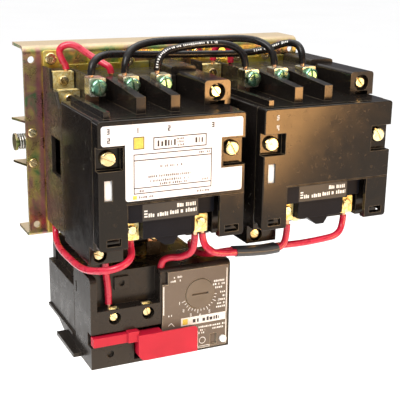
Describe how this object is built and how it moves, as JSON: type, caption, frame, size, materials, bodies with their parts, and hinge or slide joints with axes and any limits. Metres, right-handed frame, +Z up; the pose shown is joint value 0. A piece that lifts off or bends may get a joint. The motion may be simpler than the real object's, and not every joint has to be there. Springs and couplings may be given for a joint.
{
  "type": "magnetic motor starter",
  "caption": "Reversing magnetic motor starter: a pair of contactors side by side on a channel plate, an overload relay under one of them, and the wires that join them.",
  "frame": {"origin": "centre of the channel plate's back face, which is also the centre of its fixing holes", "axes": "+X to the right seen from the front, +Z up, the front faces -Y and the wall is on +Y"},
  "size_m": [0.2104, 0.1363, 0.1917],
  "materials": {
    "green_zinc_steel": "satin",
    "spring_steel": "satin",
    "black_gloss_plastic": "gloss",
    "warm_black_plastic": "matte",
    "coil_plastic": "satin",
    "lamination_steel": "satin",
    "white_plastic": "satin",
    "contact_copper": "satin",
    "plated_screw": "satin",
    "clamp_steel": "satin",
    "brass_clamp": "satin",
    "nameplate_print": "satin",
    "relay_plastic": "matte",
    "relay_plate": "satin",
    "dial_plastic": "satin",
    "red_plastic": "satin",
    "board_green": "satin",
    "black_wire": "satin",
    "red_wire": "satin",
    "shrink_sleeve": "matte"
  },
  "bodies": {
    "frame": {"aux_terminal_cages": "brass_clamp", "channel_plate": "green_zinc_steel", "coil_link_front": "red_wire", "coil_link_rear": "red_wire", "coil_terminal_clamps": "brass_clamp", "conductor_straps": "contact_copper", "cover_screws": "plated_screw", "fixed_contacts": "contact_copper", "holding_circuit_wire": "red_wire", "interlock_block_screws": "plated_screw", "interlock_bracket": "green_zinc_steel", "interlock_control_wire": "red_wire", "interlock_guide_strap": "green_zinc_steel", "interlock_spring": "spring_steel", "jumper_first_to_third": "black_wire", "jumper_second": "black_wire", "jumper_third_to_first": "black_wire", "left_base_plate": "green_zinc_steel", "left_coil": "coil_plastic", "left_contact_housing": "black_gloss_plastic", "left_front_cover": "black_gloss_plastic", "left_interlock_block": "warm_black_plastic", "left_magnet_core": "lamination_steel", "left_rear_housing": "warm_black_plastic", "left_return_springs": "spring_steel", "line_clamps": "clamp_steel", "line_screws": "plated_screw", "load_screws": "plated_screw", "lower_left_wire": "red_wire", "nameplate": "nameplate_print", "overload_case": "relay_plastic", "overload_circuit_board": "board_green", "overload_clamps": "brass_clamp", "overload_control_wire": "red_wire", "overload_faceplate": "relay_plate", "overload_reset_spring": "spring_steel", "plate_fasteners": "plated_screw", "right_base_plate": "green_zinc_steel", "right_coil": "coil_plastic", "right_contact_housing": "black_gloss_plastic", "right_front_cover": "black_gloss_plastic", "right_interlock_block": "warm_black_plastic", "right_magnet_core": "lamination_steel", "right_rear_housing": "warm_black_plastic", "right_return_springs": "spring_steel", "small_terminal_screws": "plated_screw", "top_control_wire": "red_wire", "wire_sleeve": "shrink_sleeve"},
    "left_armature_assembly": {"left_armature": "lamination_steel", "left_contact_carrier": "warm_black_plastic", "left_indicator_flag": "white_plastic", "left_contact_bridges": "contact_copper"},
    "right_armature_assembly": {"right_armature": "lamination_steel", "right_contact_carrier": "warm_black_plastic", "right_indicator_flag": "white_plastic", "right_contact_bridges": "contact_copper"},
    "interlock_slide": {"interlock_slide_bar": "green_zinc_steel"},
    "overload_dial": {"overload_dial": "dial_plastic"},
    "overload_reset_lever": {"overload_reset_lever": "red_plastic"},
    "overload_test_button": {"overload_test_button": "white_plastic"}
  },
  "joints": [
    {"name": "left_armature_travel", "type": "slide", "parent": "frame", "child": "left_armature_assembly", "axis": [0, 0, -1], "range_m": [0, 0.005], "stiffness_N_per_m": 300, "springref_m": -0.01, "deforming": ["left_return_springs"]},
    {"name": "right_armature_travel", "type": "slide", "parent": "frame", "child": "right_armature_assembly", "axis": [0, 0, -1], "range_m": [0, 0.005], "stiffness_N_per_m": 300, "springref_m": -0.01, "deforming": ["right_return_springs"]},
    {"name": "interlock_bar_travel", "type": "slide", "parent": "frame", "child": "interlock_slide", "axis": [1, 0, 0], "range_m": [0, 0.004], "stiffness_N_per_m": 500, "springref_m": -0.004, "deforming": ["interlock_spring"]},
    {"name": "dial_turn", "type": "hinge", "parent": "frame", "child": "overload_dial", "pos_m": [-0.0171, -0.093, -0.0809], "axis": [0, 1, 0], "range_deg": [-120, 120]},
    {"name": "reset_lever_push", "type": "slide", "parent": "frame", "child": "overload_reset_lever", "axis": [0, 1, 0], "range_m": [0, 0.0035], "stiffness_N_per_m": 400, "springref_m": -0.003, "deforming": ["overload_reset_spring"]},
    {"name": "test_button_push", "type": "slide", "parent": "frame", "child": "overload_test_button", "axis": [0, 1, 0], "range_m": [0, 0.0015], "stiffness_N_per_m": 500, "springref_m": -0.001}
  ]
}
